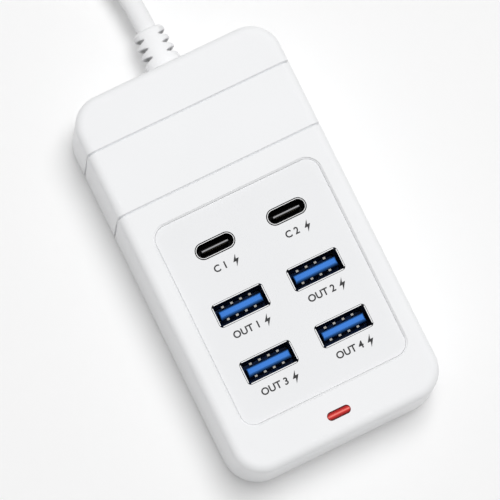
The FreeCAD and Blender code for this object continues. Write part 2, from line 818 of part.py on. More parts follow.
def make_heat_sink():
    x, y = sink_place()
    plate = block(x, y, power_z, sink_thickness, sink_length, sink_height)
    foot = block(x - sink_foot / 2, y, power_z, sink_foot + sink_thickness, sink_length, sink_thickness)
    sink = plate.fuse(foot)
    teeth = 4
    pitch = sink_length / teeth
    for k in range(teeth):
        notch_y = y + (k - (teeth - 1) / 2) * pitch
        sink = sink.cut(block(x, notch_y, power_z + sink_height - 2.0, sink_thickness + 1, pitch / 2, 3.0))
    return sink.removeSplitter()


def make_power_switch():
    x, y = sink_place()
    depth, width, height = switch_size
    face = x - sink_thickness / 2
    low = power_z + sink_thickness + switch_lift - sink_thickness
    body = block(face - depth / 2, y, low, depth, width, height * 0.6)
    tab = block(face - switch_tab / 2, y, low, switch_tab, width, height)
    return body.fuse(tab).removeSplitter()


def make_bridge_rectifier():
    width, depth, height = bridge_size
    x, inset = bridge_place
    y = power_head_y - inset
    half = depth / 2
    left = x - width / 2
    slant = 0.4
    profile = polygon([
        V(left, y - half + slant, power_z), V(left, y + half - slant, power_z), V(left, y + half, power_z + height / 2),
        V(left, y + half - slant, power_z + height), V(left, y - half + slant, power_z + height),
        V(left, y - half, power_z + height / 2),
    ])
    return prism(profile, V(width, 0, 0))


# Strain relief: a turned sleeve with a flange inside the wall and side notches outside it
def relief_flange_y():
    return head_y - wall - lean(cord_height + relief_flange_radius) - relief_gap / 2


def make_strain_relief():
    flange_y = relief_flange_y()
    inner_y = flange_y - relief_flange_thickness - relief_inner_length
    profile = [
        V(0, inner_y, 0), V(relief_inner_radius, inner_y, 0),
        V(relief_inner_radius, flange_y - relief_flange_thickness, 0),
        V(relief_flange_radius, flange_y - relief_flange_thickness, 0), V(relief_flange_radius, flange_y, 0),
        V(relief_root_radius, flange_y, 0), V(relief_root_radius, relief_wall_y + 0.8, 0),
        V(relief_tip_radius, relief_tip_y - 0.5, 0), V(relief_tip_radius - 0.5, relief_tip_y, 0),
        V(0, relief_tip_y, 0),
    ]
    sleeve = Part.Face(polygon(profile)).revolve(V(0, 0, 0), V(0, 1, 0), 360)
    sleeve.translate(V(cord_x, 0, cord_height))
    # Side notches that narrow towards the spines along the top and the bottom
    core = Part.makeCylinder(relief_notch_radius, relief_reach, V(cord_x, relief_wall_y, cord_height), V(0, 1, 0))
    far = relief_root_radius + 1
    flare = relief_notch_width / 2 * (far - relief_spine) / (relief_tip_radius - relief_spine)
    for k in range(relief_notch_count):
        y = relief_wall_y + relief_notch_start + k * relief_notch_pitch
        for side in (-1, 1):
            wedge = polygon([
                V(cord_x + side * relief_spine, y, 0),
                V(cord_x + side * far, y + flare, 0),
                V(cord_x + side * far, y - flare, 0),
            ])
            sleeve = sleeve.cut(prism(wedge, V(0, 0, 2 * cord_height)).cut(core))
    return sleeve


# A round cord along straight runs joined by arcs as large as the runs allow
def rounded_path(points):
    edges = []
    radii = []
    start = points[0]
    for before, here, after in zip(points, points[1:], points[2:]):
        back = before - here
        ahead = after - here
        turn = math.pi - back.getAngle(ahead)
        reach = 0.45 * min(back.Length, ahead.Length)
        radius = reach / math.tan(turn / 2)
        radii.append(radius)
        back.normalize()
        ahead.normalize()
        first = here + back * reach
        last = here + ahead * reach
        inward = back + ahead
        inward.normalize()
        middle = here + inward * (radius / math.cos(turn / 2) - radius)
        edges.append(Part.LineSegment(start, first).toShape())
        edges.append(Part.Arc(first, middle, last).toShape())
        start = last
    edges.append(Part.LineSegment(start, points[-1]).toShape())
    return Part.Wire(edges), radii


def make_cord(name, points, radius):
    path, radii = rounded_path(points)
    direction = points[1] - points[0]
    section = Part.Wire(Part.makeCircle(radius, points[0], direction))
    tube = path.makePipeShell([section], True, False)
    print(name, "radii", [round(r, 1) for r in radii], "length", round(path.Length, 2),
          "volume share", round(tube.Volume / (math.pi * radius ** 2 * path.Length), 4))
    return tube


def make_lead(side):
    flange_y = relief_flange_y()
    inner_y = flange_y - relief_flange_thickness - relief_inner_length
    points = [V(cord_x + side * lead_spread, inner_y + dy, cord_height + dz) for dy, dz in lead_runs]
    points.append(V(points[-1].x, points[-1].y, power_z))
    return make_cord("lead", points, lead_radius)


# Coil of the stowed cord: the outer shape of its turns, with the cord running in and out of it
def coil_centre():
    last = cord_points[-1]
    heading = last - cord_points[-2]
    heading.normalize()
    across = V(heading.y, -heading.x, 0)
    return last + heading * coil_lead_in + across * (coil_outer - cord_radius) - V(0, 0, last.z), heading


def ring(grow):
    near = coil_inner - grow
    far = coil_outer + grow
    low = tie_thickness - grow
    high = coil_top_z + grow
    cut = coil_corner
    section = polygon([
        V(near + cut, 0, low), V(far - cut, 0, low), V(far, 0, low + cut), V(far, 0, high - cut),
        V(far - cut, 0, high), V(near + cut, 0, high), V(near, 0, high - cut), V(near, 0, low + cut),
    ])
    return Part.Face(section).revolve(V(0, 0, 0), V(0, 0, 1), 360)


def make_cord_coil():
    centre, heading = coil_centre()
    coil = ring(0.0)
    coil.translate(centre)
    stub = Part.makeCylinder(cord_radius, coil_lead_in, cord_points[-1], heading)
    tail = make_cord("coil tail", [centre + p for p in tail_points], cord_radius)
    return coil.fuse(stub).fuse(tail)


def make_coil_tie():
    centre, _ = coil_centre()
    band = ring(tie_thickness)
    reach = coil_width + 6 * tie_thickness
    slab = block(coil_mean_radius, 0, -1, reach, tie_width, coil_top_z + 4)
    band = band.common(slab).cut(ring(tie_gap))
    band.rotate(V(0, 0, 0), V(0, 0, 1), tie_angle)
    band.translate(centre)
    return band


# Plug, drawn along +X from the end of its relief and then laid on the coil
def place_plug(shape):
    centre, _ = coil_centre()
    end = tail_points[-1]
    heading = end - tail_points[-2]
    shape.Placement = FreeCAD.Placement(centre + end, FreeCAD.Rotation(V(1, 0, 0), heading))
    return shape


def plug_section(x, width, height, radius):
    wire = rounded_rectangle(width, height, radius, 0)
    wire.Placement = FreeCAD.Placement(V(x, 0, 0), FreeCAD.Rotation(V(0, 1, 0), V(0, 0, 1), V(1, 0, 0), "ZXY"))
    return wire


def blade_ys():
    return (-blade_spacing / 2, blade_spacing / 2)


def make_plug_body():
    neck_x = plug_relief_length
    shoulder_x = neck_x + plug_shoulder
    face_x = neck_x + plug_length
    relief = Part.makeCone(plug_relief_tip_radius, plug_relief_root_radius, neck_x + 0.5, V(0, 0, 0), V(1, 0, 0))
    for k in range(plug_relief_rings):
        x = neck_x * (k + 1) / (plug_relief_rings + 1)
        groove = Part.makeCylinder(plug_relief_root_radius + 1, plug_relief_ring_width, V(x, 0, 0), V(1, 0, 0))
        core = Part.makeCylinder(plug_relief_tip_radius + plug_relief_ring_depth * k / plug_relief_rings
                                 - plug_relief_ring_depth / 2, plug_relief_ring_width, V(x, 0, 0), V(1, 0, 0))
        relief = relief.cut(groove.cut(core))
    neck = plug_section(neck_x, plug_neck_width, plug_neck_height, plug_corner_radius)
    shoulder = plug_section(shoulder_x, plug_width, plug_height, plug_corner_radius)
    face = plug_section(face_x, plug_width, plug_height, plug_corner_radius)
    body = Part.makeLoft([neck, shoulder], True, True).fuse(Part.makeLoft([shoulder, face], True, True))
    body = body.fuse(relief)
    for k in range(plug_grip_count):
        x = shoulder_x + 2.0 + k * plug_grip_pitch
        for side in (-1, 1):
            y = side * plug_width / 2
            body = body.cut(block(x, y, -plug_height, plug_grip_width, 2 * plug_grip_depth, 2 * plug_height))
    for y in blade_ys():
        body = body.cut(block(face_x, y, -blade_height / 2 - blade_gap, 2 * blade_root,
                              blade_thickness + 2 * blade_gap, blade_height + 2 * blade_gap))
    return place_plug(body.removeSplitter())


def make_plug_blades():
    root_x = plug_relief_length + plug_length - blade_root
    tip_x = root_x + blade_root + blade_length
    half = blade_height / 2
    cut = blade_tip_chamfer * 3
    blades = []
    for y in blade_ys():
        low = y - blade_thickness / 2
        profile = polygon([V(root_x, low, -half), V(tip_x - cut, low, -half), V(tip_x, low, -half + cut),
                           V(tip_x, low, half - cut), V(tip_x - cut, low, half), V(root_x, low, half)])
        blade = prism(profile, V(0, blade_thickness, 0))
        hole = Part.makeCylinder(blade_hole_radius, blade_thickness + 2, V(tip_x - blade_hole_inset, low - 1, 0),
                                 V(0, 1, 0))
        blades.append(blade.cut(hole))
    return place_plug(Part.makeCompound(blades))


os.makedirs("parts", exist_ok=True)
save("top_cover", make_top_cover())
save("port_panel", make_port_panel())
save("bottom_cover", make_bottom_cover())
save("housing_screws", Part.makeCompound([make_housing_screw(x, y) for x, y in boss_places]))
for number, (x, y) in enumerate(foot_places(), 1):
    save("foot_%d" % number, make_foot(x, y))
for number, (x, y) in enumerate(usb_a_places, 1):
    save("usb_a_shell_%d" % number, make_usb_a_shell(x, y))
    save("usb_a_insert_%d" % number, make_usb_a_insert(x, y))
    save("usb_a_contacts_%d" % number, make_usb_a_contacts(x, y))
for number, (x, y) in enumerate(usb_c_places, 1):
    save("usb_c_shell_%d" % number, make_usb_c_shell(x, y))
    save("usb_c_insert_%d" % number, make_usb_c_insert(x, y))
    save("usb_c_contacts_%d" % number, make_usb_c_contacts(x, y))
save("led_lens", make_led_lens())
save("indicator_led", make_indicator_led())
save("output_board", make_output_board())
save("output_board_screws", Part.makeCompound(
    [make_board_screw(x, y, board_z - board_thickness, True, board_screw_length) for x, y in post_places]))
save("power_board", make_power_board())
save("power_board_screws", Part.makeCompound(
    [make_board_screw(x, y, power_z, False, base_screw_length) for x, y in power_post_places]))
save("link_header", make_link_header())
save("link_pins", make_link_pins())
save("transformer_core", make_transformer_core())
save("transformer_bobbin", make_transformer_bobbin())
save("transformer_winding", make_transformer_winding())
save("bulk_capacitor", make_bulk_capacitor())
for number, (x, inset) in enumerate(output_can_places, 1):
    save("output_capacitor_%d" % number,
         make_can(V(x, power_head_y - inset, power_z), V(0, 0, 1), output_can_radius, output_can_height))
save("fuse", make_fuse())
save("filter_capacitor", make_filter_capacitor())
save("heat_sink", make_heat_sink())
save("power_switch", make_power_switch())
save("bridge_rectifier", make_bridge_rectifier())
save("strain_relief", make_strain_relief())
save("live_lead", make_lead(-1))
save("neutral_lead", make_lead(1))
save("power_cord", make_cord("power cord", list(cord_points), cord_radius))
save("cord_coil", make_cord_coil())
save("coil_tie", make_coil_tie())
save("plug_body", make_plug_body())
save("plug_blades", make_plug_blades())
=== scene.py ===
import bpy
import json
import math
from mathutils import Matrix, Vector


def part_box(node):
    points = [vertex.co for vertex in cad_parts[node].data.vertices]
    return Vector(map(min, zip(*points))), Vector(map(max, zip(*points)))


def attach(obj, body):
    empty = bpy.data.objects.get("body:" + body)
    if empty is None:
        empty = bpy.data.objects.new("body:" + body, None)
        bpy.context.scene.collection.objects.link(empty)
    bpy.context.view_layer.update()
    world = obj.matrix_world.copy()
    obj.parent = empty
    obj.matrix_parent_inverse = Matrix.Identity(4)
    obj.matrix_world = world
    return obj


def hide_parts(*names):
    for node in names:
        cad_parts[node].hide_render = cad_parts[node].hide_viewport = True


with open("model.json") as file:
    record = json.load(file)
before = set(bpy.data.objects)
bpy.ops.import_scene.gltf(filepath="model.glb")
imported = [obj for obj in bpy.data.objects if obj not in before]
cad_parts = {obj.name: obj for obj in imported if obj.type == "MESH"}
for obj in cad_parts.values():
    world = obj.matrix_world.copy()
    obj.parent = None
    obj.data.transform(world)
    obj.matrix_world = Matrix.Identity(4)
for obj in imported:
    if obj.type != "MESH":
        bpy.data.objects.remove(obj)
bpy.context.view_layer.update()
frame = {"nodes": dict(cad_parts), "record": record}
nodes = frame["nodes"]
mm = 0.001  # sizes below are written in millimetres
hair = 0.01 * mm  # slack for picking points by their place
scene = bpy.context.scene
scene.view_settings.view_transform = "Standard"
print("frame loaded:", len(nodes), "nodes")


def clearSelection():
    if bpy.context.object and bpy.context.object.mode != "OBJECT":
        bpy.ops.object.mode_set(mode="OBJECT")
    bpy.ops.object.select_all(action="DESELECT")


# camera, looking almost straight down from over the left tail corner
viewSet = {
    "place": (-61.9, -77.4, 721.2),
    "azimuth": -38.0,
    "elevation": 82.0,
    "roll": 12.0,
    "lens": 211.7,
}


def setCamera():
    turn = math.radians(viewSet["azimuth"])
    rise = math.radians(viewSet["elevation"])
    roll = math.radians(viewSet["roll"])
    back = Vector((math.sin(turn) * math.cos(rise), -math.cos(turn) * math.cos(rise), math.sin(rise)))
    flatRight = Vector((math.cos(turn), math.sin(turn), 0))
    flatUp = back.cross(flatRight)
    right = flatRight * math.cos(roll) + flatUp * math.sin(roll)
    up = flatUp * math.cos(roll) - flatRight * math.sin(roll)
    clearSelection()
    bpy.ops.object.camera_add()
    camera = bpy.context.object
    camera.name = "productCamera"
    camera.data.lens = viewSet["lens"]
    camera.data.clip_end = 20
    place = Vector(viewSet["place"]) * mm
    camera.matrix_world = Matrix((
        (right.x, up.x, back.x, place.x),
        (right.y, up.y, back.y, place.y),
        (right.z, up.z, back.z, place.z),
        (0, 0, 0, 1),
    ))
    scene.camera = camera


setCamera()
print("camera set")

# mains cord: out of the relief, down to the floor, into its coil and up over it to the plug
cordSet = {
    "radius": 2.5,
    "route": [(0.7, 61.19, 11), (0.7, 72, 11), (-2.5, 83.5, 7.2), (-8.5, 93.8, 3.3), (-15.2, 103.2, 3.3)],
    "leadIn": 19.8,
    "outerTurn": 37.4,
    "innerTurn": 20.0,
    "low": 3.3,
    "high": 8.3,
    "pointsPerTurn": 24,
    "layerTurns": 3.5,
    "riseTurns": 0.5,
    "allTurns": 7.49,
    "tail": [(32.5, 18.75, 8.3), (36.9, 6.5, 9.6), (36.9, -6.5, 11.3), (32.6, -16.6, 12.4),
             (24.3, -23.9, 13.5), (13.7, -26.7, 14.6), (2.9, -24.6, 15.6), (-5.9, -18, 16.3),
             (-10.9, -8.2, 16.3)],
    "length": 1.5,
}


def coilCentre():
    before, last = [Vector(p) for p in cordSet["route"][-2:]]
    heading = (last - before).normalized()
    side = Vector((heading.y, -heading.x, 0))
    return last + heading * cordSet["leadIn"] + side * cordSet["outerTurn"], side


def coilTurns():
    centre, side = coilCentre()
    start = math.atan2(-side.y, -side.x)
    step = 1 / cordSet["pointsPerTurn"]
    grow = 2 / (1 + math.cos(2 * math.pi * step))  # the spline runs a little inside its points
    span = cordSet["outerTurn"] - cordSet["innerTurn"]
    rise = cordSet["high"] - cordSet["low"]
    upStart = cordSet["layerTurns"]
    outStart = upStart + cordSet["riseTurns"]
    points = []
    for k in range(round(cordSet["allTurns"] * cordSet["pointsPerTurn"])):
        turn = k * step
        radius, height = cordSet["innerTurn"], cordSet["high"]
        if turn < upStart:
            radius, height = cordSet["outerTurn"] - span * turn / upStart, cordSet["low"]
        elif turn < outStart:
            share = (turn - upStart) / cordSet["riseTurns"]
            height = cordSet["low"] + rise * share * share * (3 - 2 * share)
        else:
            radius += span * (turn - outStart) / cordSet["layerTurns"]
        angle = start - 2 * math.pi * turn
        reach = radius * grow
        points.append((centre.x + reach * math.cos(angle), centre.y + reach * math.sin(angle), height))
    return points


def makeCord():
    centre = coilCentre()[0]
    points = cordSet["route"] + coilTurns()
    points += [(centre.x + x, centre.y + y, z) for x, y, z in cordSet["tail"]]
    line = bpy.data.curves.new("mainsCord", "CURVE")
    line.dimensions = "3D"
    line.bevel_depth = 1.0  # each point carries the radius
    line.bevel_resolution = 6
    line.resolution_u = 6
    line.use_fill_caps = True
    run = line.splines.new("NURBS")
    run.points.add(len(points) - 1)
    for spot, (x, y, z) in zip(run.points, points):
        spot.co = (x * mm, y * mm, z * mm, 1)
        spot.radius = cordSet["radius"] * mm
    run.order_u = 3
    run.use_endpoint_u = True
    cord = bpy.data.objects.new("mainsCord", line)
    scene.collection.objects.link(cord)
    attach(cord, "root")
    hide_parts("power_cord", "cord_coil")
    return cord


mainsCord = makeCord()
print("cord laid")

# building blocks of the finishes: all read Object coordinates, so every pattern has a real size
def startFinish(name):
    finish = bpy.data.materials.new(name)
    finish.use_nodes = True
    tree = finish.node_tree
    where = tree.nodes.new("ShaderNodeTexCoord").outputs["Object"]
    return finish, tree, tree.nodes["Principled BSDF"], where


def addNoise(tree, where, scale, detail, stretch=None):
    if stretch:
        bend = tree.nodes.new("ShaderNodeMapping")
        bend.inputs["Scale"].default_value = stretch
        tree.links.new(where, bend.inputs["Vector"])
        where = bend.outputs["Vector"]
    noise = tree.nodes.new("ShaderNodeTexNoise")
    noise.inputs["Scale"].default_value = scale
    noise.inputs["Detail"].default_value = detail
    tree.links.new(where, noise.inputs["Vector"])
    return noise.outputs["Fac"]


def tint(tree, shader, value, stops):
    ramp = tree.nodes.new("ShaderNodeValToRGB")
    ramp.color_ramp.elements[0].position = stops[0][0]
    ramp.color_ramp.elements[0].color = (*stops[0][1], 1)
    ramp.color_ramp.elements[1].position = stops[-1][0]
    ramp.color_ramp.elements[1].color = (*stops[-1][1], 1)
    for place, colour in stops[1:-1]:
        ramp.color_ramp.elements.new(place).color = (*colour, 1)
    tree.links.new(value, ramp.inputs["Fac"])
    tree.links.new(ramp.outputs["Color"], shader.inputs["Base Color"])
    return ramp.outputs["Color"]


def spread(tree, value, low, high, start=0.3, end=0.7):
    ease = tree.nodes.new("ShaderNodeMapRange")
    ease.inputs["From Min"].default_value = start
    ease.inputs["From Max"].default_value = end
    ease.inputs["To Min"].default_value = low
    ease.inputs["To Max"].default_value = high
    tree.links.new(value, ease.inputs["Value"])
    return ease.outputs["Result"]


def roughen(tree, shader, value, low, high):
    tree.links.new(spread(tree, value, low, high), shader.inputs["Roughness"])


def emboss(tree, shader, value, depth, strength):
    bump = tree.nodes.new("ShaderNodeBump")
    bump.inputs["Strength"].default_value = strength
    bump.inputs["Distance"].default_value = depth * mm
    tree.links.new(value, bump.inputs["Height"])
    tree.links.new(bump.outputs["Normal"], shader.inputs["Normal"])


def shade(colour, share):
    return tuple(min(1.0, part * share) for part in colour)


def axisOf(tree, where, axis):
    split = tree.nodes.new("ShaderNodeSeparateXYZ")
    tree.links.new(where, split.inputs[0])
    return split.outputs[axis]


# moulded plastic: a cloudy tone, uneven gloss and a fine spark-eroded grain
def mouldedPlastic(name, colour, gloss, grain, depth, cloud=0.03, cloudScale=45):
    finish, tree, shader, where = startFinish(name)
    clouds = addNoise(tree, where, cloudScale, 4)
    tint(tree, shader, clouds, [(0.3, shade(colour, 1 - cloud)), (0.7, shade(colour, 1 + cloud / 3))])
    roughen(tree, shader, addNoise(tree, where, 160, 5), gloss - 0.05, gloss + 0.06)
    emboss(tree, shader, addNoise(tree, where, grain, 2), depth, 0.35)
    return finish


# cord relief: as the cord's jacket, with painted shade darkening it down in its notches, by the distance from
# its axis
def reliefWithPaintedShade(name, colour, gloss, axisX, axisZ, core, skin, tipY):
    finish = mouldedPlastic(name, colour, gloss, 1800, 0.02)
    tree = finish.node_tree
    shader = tree.nodes["Principled BSDF"]
    where = tree.nodes["Texture Coordinate"].outputs["Object"]
    across = tree.nodes.new("ShaderNodeMapping")
    across.inputs["Location"].default_value = (-axisX * mm, 0, -axisZ * mm)
    across.inputs["Scale"].default_value = (1, 0, 1)
    tree.links.new(where, across.inputs["Vector"])
    reach = tree.nodes.new("ShaderNodeVectorMath")
    reach.operation = "LENGTH"
    tree.links.new(across.outputs["Vector"], reach.inputs[0])
    pale = spread(tree, reach.outputs["Value"], 0, 1, core * mm, skin * mm)
    endFace = spread(tree, axisOf(tree, where, "Y"), 0, 1, (tipY - 1.2) * mm, (tipY - 0.7) * mm)
    upper = spread(tree, axisOf(tree, where, "Z"), 0, 1, (axisZ + 0.6) * mm, (axisZ + 3.2) * mm)
    for spared in (endFace, upper):  # these stay pale down to the core
        larger = tree.nodes.new("ShaderNodeMath")
        larger.operation = "MAXIMUM"
        tree.links.new(pale, larger.inputs[0])
        tree.links.new(spared, larger.inputs[1])
        pale = larger.outputs[0]
    # painted shade: the notches' floors go down to a fifth of the jacket's white
    tint(tree, shader, pale, [(0.0, shade(colour, 0.2)), (0.5, shade(colour, 0.58)), (1.0, colour)])
    return finish


# drawn sheet steel, brushed: bright at the rim, with painted shade making it dark down inside the mouth
def steelWithPaintedShade(name, colour, rimHeight):
    finish, tree, shader, where = startFinish(name)
    # painted shade by height: darkest from 0.45 mm below the rim down
    depth = spread(tree, axisOf(tree, where, "Z"), 0, 1, (rimHeight - 0.45) * mm, (rimHeight - 0.02) * mm)
    tint(tree, shader, depth, [(0.0, shade(colour, 0.03)), (0.5, shade(colour, 0.1)),
                               (0.78, shade(colour, 0.5)), (0.95, colour)])
    streaks = addNoise(tree, where, 900, 3, (1, 1, 0.12))
    roughen(tree, shader, streaks, 0.2, 0.38)
    emboss(tree, shader, streaks, 0.01, 0.3)
    shader.inputs["Metallic"].default_value = 1.0
    return finish


# tongue in a port: its lit tip in one tone, falling off through painted shade to a dark one down the flanks
def tongueWithPaintedShade(name, tip, shadedFlank, tipHeight, fall, gloss):
    finish, tree, shader, where = startFinish(name)
    depth = spread(tree, axisOf(tree, where, "Z"), 0, 1, tipHeight - fall * mm, tipHeight)
    # painted light and shade by height: the lit tone at the tip, painted shade below it
    tint(tree, shader, depth, [(0.0, shadedFlank), (0.5, shade(tip, 0.25)), (0.85, shade(tip, 0.68)), (0.99, tip)])
    roughen(tree, shader, addNoise(tree, where, 900, 4), gloss - 0.06, gloss + 0.08)
    emboss(tree, shader, addNoise(tree, where, 2400, 2), 0.012, 0.35)
    shader.inputs["Specular IOR Level"].default_value = 0.25
    return finish


# turned, stamped or cast metal: streaks along one way and a few duller patches
def workedMetal(name, colour, gloss, stretch, dull=0.12):
    finish, tree, shader, where = startFinish(name)
    tint(tree, shader, addNoise(tree, where, 140, 4), [(0.3, shade(colour, 1 - dull)), (0.7, colour)])
    streaks = addNoise(tree, where, 1500, 3, stretch)
    roughen(tree, shader, streaks, gloss - 0.06, gloss + 0.1)
    emboss(tree, shader, streaks, 0.015, 0.35)
    shader.inputs["Metallic"].default_value = 1.0
    return finish


# red light pipe: a painted highlight streak along its middle and painted shade deepening to its rim; its
# faint glow follows the same streak
def lensWithPaintedHighlight(name, middle, halfWidth):
    finish, tree, shader, where = startFinish(name)
    offset = tree.nodes.new("ShaderNodeMath")
    offset.operation = "SUBTRACT"
    offset.inputs[1].default_value = middle * mm
    tree.links.new(axisOf(tree, where, "Y"), offset.inputs[0])
    away = tree.nodes.new("ShaderNodeMath")
    away.operation = "ABSOLUTE"
    tree.links.new(offset.outputs[0], away.inputs[0])
    across = spread(tree, away.outputs[0], 0, 1, 0, halfWidth * mm)
    # painted highlight in the middle, painted shade toward the rim; the same colours drive the faint glow
    glow = tint(tree, shader, across, [(0.0, (0.9, 0.26, 0.22)), (0.16, (0.74, 0.1, 0.085)),
                                       (0.34, (0.55, 0.02, 0.018)), (0.7, (0.33, 0.008, 0.008)),
                                       (1.0, (0.12, 0.004, 0.004))])
    tree.links.new(glow, shader.inputs["Emission Color"])
    shader.inputs["Emission Strength"].default_value = 0.1
    shader.inputs["Specular IOR Level"].default_value = 0.25
    roughen(tree, shader, addNoise(tree, where, 900, 3), 0.1, 0.22)
    return finish


# circuit board: solder mask over a net of copper lines
def circuitBoard(name, colour):
    finish, tree, shader, where = startFinish(name)
    tracks = tree.nodes.new("ShaderNodeTexVoronoi")
    tracks.feature = "DISTANCE_TO_EDGE"
    tracks.distance = "EUCLIDEAN"
    tracks.inputs["Scale"].default_value = 260
    tree.links.new(where, tracks.inputs["Vector"])
    tint(tree, shader, tracks.outputs["Distance"], [(0.04, shade(colour, 1.5)), (0.09, colour)])
    roughen(tree, shader, addNoise(tree, where, 400, 3), 0.3, 0.45)
    emboss(tree, shader, spread(tree, tracks.outputs["Distance"], 1, 0, 0.04, 0.1), 0.04, 0.5)
    return finish


# wound or woven goods: fine ribs one way, a little uneven
def woundRibs(name, colour, ribs, way, gloss):
    finish, tree, shader, where = startFinish(name)
    wave = tree.nodes.new("ShaderNodeTexWave")
    wave.bands_direction = way
    wave.inputs["Scale"].default_value = ribs
    wave.inputs["Distortion"].default_value = 0.6
    wave.inputs["Detail"].default_value = 2
    tree.links.new(where, wave.inputs["Vector"])
    rib = wave.outputs["Fac"]
    tint(tree, shader, rib, [(0.1, shade(colour, 0.55)), (0.7, colour), (1.0, shade(colour, 1.1))])
    roughen(tree, shader, addNoise(tree, where, 500, 3), gloss - 0.08, gloss + 0.1)
    emboss(tree, shader, rib, 0.08, 0.6)
    return finish


# fired ferrite: dark, with pale specks and small chips
def firedFerrite(name, colour):
    finish, tree, shader, where = startFinish(name)
    specks = addNoise(tree, where, 2200, 4)
    tint(tree, shader, specks, [(0.45, colour), (0.75, shade(colour, 2.2))])
    roughen(tree, shader, specks, 0.45, 0.75)
    emboss(tree, shader, addNoise(tree, where, 700, 5), 0.03, 0.6)
    return finish


# fuse: a clear tube with a faint frosting
def fuseGlass(name, colour):
    finish, tree, shader, where = startFinish(name)
    frost = addNoise(tree, where, 700, 4)
    tint(tree, shader, frost, [(0.3, shade(colour, 0.9)), (0.7, colour)])
    roughen(tree, shader, frost, 0.04, 0.14)
    shader.inputs["Transmission Weight"].default_value = 0.7
    shader.inputs["IOR"].default_value = 1.48
    return finish


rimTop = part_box("usb_a_shell_1")[1][2]
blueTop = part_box("usb_a_insert_1")[1][2]
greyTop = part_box("usb_c_insert_1")[1][2]
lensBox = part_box("led_lens")
lensMiddle = (lensBox[0][1] + lensBox[1][1]) / 2 / mm
jacketWhite = (0.9, 0.902, 0.91)
# a moulded plastic's numbers: gloss, the grain's scale and depth, the clouds' strength and scale
finishSet = {
    "housing_white": mouldedPlastic("satinHousing", (0.925, 0.931, 0.942), 0.34, 2600, 0.012, 0.012),
    "panel_white": mouldedPlastic("mattPanel", (0.886, 0.892, 0.905), 0.46, 3400, 0.016, 0.012),
    "cord_white": mouldedPlastic("cordJacket", jacketWhite, 0.42, 1800, 0.02, 0.03),
    "port_steel": steelWithPaintedShade("drawnSteel", (0.94, 0.943, 0.947), rimTop / mm),
    "tongue_blue": tongueWithPaintedShade("blueTongue", (0.055, 0.233, 0.743), (0.007, 0.03, 0.115), blueTop, 0.8, 0.36),
    "tongue_grey": tongueWithPaintedShade("greyTongue", (0.36, 0.36, 0.37), (0.006, 0.006, 0.006), greyTop, 0.3, 0.4),
    "contact_gold": workedMetal("plateGold", (0.4, 0.395, 0.375), 0.24, (1, 1, 0.1)),
    "lens_red": lensWithPaintedHighlight("litRed", lensMiddle, 1.0),
    "board_green": circuitBoard("greenBoard", (0.02, 0.11, 0.045)),
    "screw_steel": workedMetal("screwSteel", (0.56, 0.57, 0.59), 0.32, (1, 1, 0.2)),
    "foot_rubber": mouldedPlastic("footRubber", (0.055, 0.055, 0.058), 0.75, 1300, 0.05, 0.25, 260),
    "ferrite": firedFerrite("darkFerrite", (0.02, 0.02, 0.022)),
    "bobbin_black": mouldedPlastic("bobbinBlack", (0.012, 0.012, 0.013), 0.5, 2000, 0.02, 0.2),
    "winding_yellow": woundRibs("windingTape", (0.6, 0.42, 0.04), 900, "Z", 0.4),
    "can_dark": mouldedPlastic("canSleeve", (0.012, 0.016, 0.032), 0.3, 1200, 0.01, 0.2),
    "sink_aluminium": workedMetal("sinkAluminium", (0.78, 0.79, 0.8), 0.36, (1, 0.1, 1)),
    "part_black": mouldedPlastic("partBlack", (0.014, 0.014, 0.015), 0.55, 2600, 0.02, 0.2),
    "filter_yellow": mouldedPlastic("filterCase", (0.62, 0.42, 0.03), 0.34, 2200, 0.015, 0.08),
    "fuse_glass": fuseGlass("fuseTube", (0.85, 0.88, 0.87)),
    "lead_brown": mouldedPlastic("leadBrown", (0.07, 0.022, 0.008), 0.5, 1800, 0.02, 0.15),
    "lead_blue": mouldedPlastic("leadBlue", (0.012, 0.05, 0.32), 0.5, 1800, 0.02, 0.15),
    "tie_grey": woundRibs("wovenTie", (0.17, 0.17, 0.18), 1400, "Z", 0.75),
    "blade_brass": workedMetal("bladeNickel", (0.82, 0.76, 0.62), 0.26, (0.3, 1, 1)),
}


def paint(piece, finish):
    piece.data.materials.clear()
    piece.data.materials.append(finish)


nodeSlots = {entry["node"]: entry["material_slot"] for entry in frame["record"]["subparts"]}
for node, slot in nodeSlots.items():
    paint(nodes[node], finishSet[slot])
paint(mainsCord, finishSet["cord_white"])
# thin strips deep in the narrow mouths, their gold darkened as painted shade
goldInPaintedShade = workedMetal("goldInPaintedShade", (0.1, 0.085, 0.05), 0.4, (1, 1, 0.1))
for number in (1, 2):
    paint(nodes["usb_c_contacts_%d" % number], goldInPaintedShade)
print("finishes on", len(nodeSlots), "nodes")

# how copied and modelled meshes are merged and shaded
meshSet = {
    "mergeGap": 0.002,
    "smoothAngle": 32,
}


def selectOnly(piece):
    clearSelection()
    piece.select_set(True)
    bpy.context.view_layer.objects.active = piece


# picks points, edges or faces of a piece by their place and goes into edit mode
def pick(piece, kind, test):
    selectOnly(piece)
    bpy.context.tool_settings.mesh_select_mode = (kind == "VERT", kind == "EDGE", kind == "FACE")
    mesh = piece.data
    for group in (mesh.vertices, mesh.edges, mesh.polygons):
        group.foreach_set("select", [False] * len(group))
    if kind == "VERT":
        for spot in mesh.vertices:
            spot.select = test(spot.co)
    if kind == "EDGE":
        for edge in mesh.edges:
            edge.select = test(*[mesh.vertices[k].co for k in edge.vertices])
    if kind == "FACE":
        for face in mesh.polygons:
            face.select = test(face.center, face.normal)
    bpy.ops.object.mode_set(mode="EDIT")


def applyTool(piece, kind, **settings):
    selectOnly(piece)
    tool = piece.modifiers.new(kind.lower(), kind)
    for key, value in settings.items():
        setattr(tool, key, value)
    bpy.ops.object.modifier_apply(modifier=tool.name)


def smoothByAngle(piece):
    selectOnly(piece)
    bpy.ops.object.shade_smooth_by_angle(angle=math.radians(meshSet["smoothAngle"]))


def corners(node):
    return [Vector(corner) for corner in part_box(node)]


